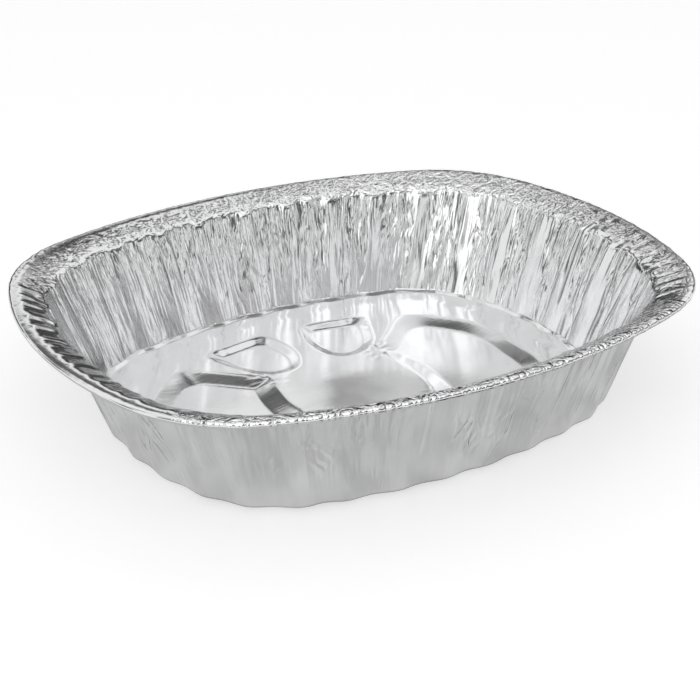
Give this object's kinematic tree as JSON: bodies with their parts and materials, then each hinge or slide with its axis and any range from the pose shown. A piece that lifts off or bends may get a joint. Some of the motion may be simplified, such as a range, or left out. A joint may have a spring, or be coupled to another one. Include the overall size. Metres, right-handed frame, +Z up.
{
  "type": "foil roasting pan",
  "caption": "Oval pan pressed from one sheet of aluminium foil, with a rolled rim, a crimped flange, pleated sloping walls and feet pressed down out of its base.",
  "frame": {"origin": "on the table, under the middle of the pan", "axes": "+X along the pan's length, +Y across its width, +Z up out of its mouth"},
  "size_m": [0.457, 0.3726, 0.091],
  "materials": {
    "foil": "satin"
  },
  "bodies": {
    "root": {"roasting_pan": "foil"}
  },
  "joints": []
}
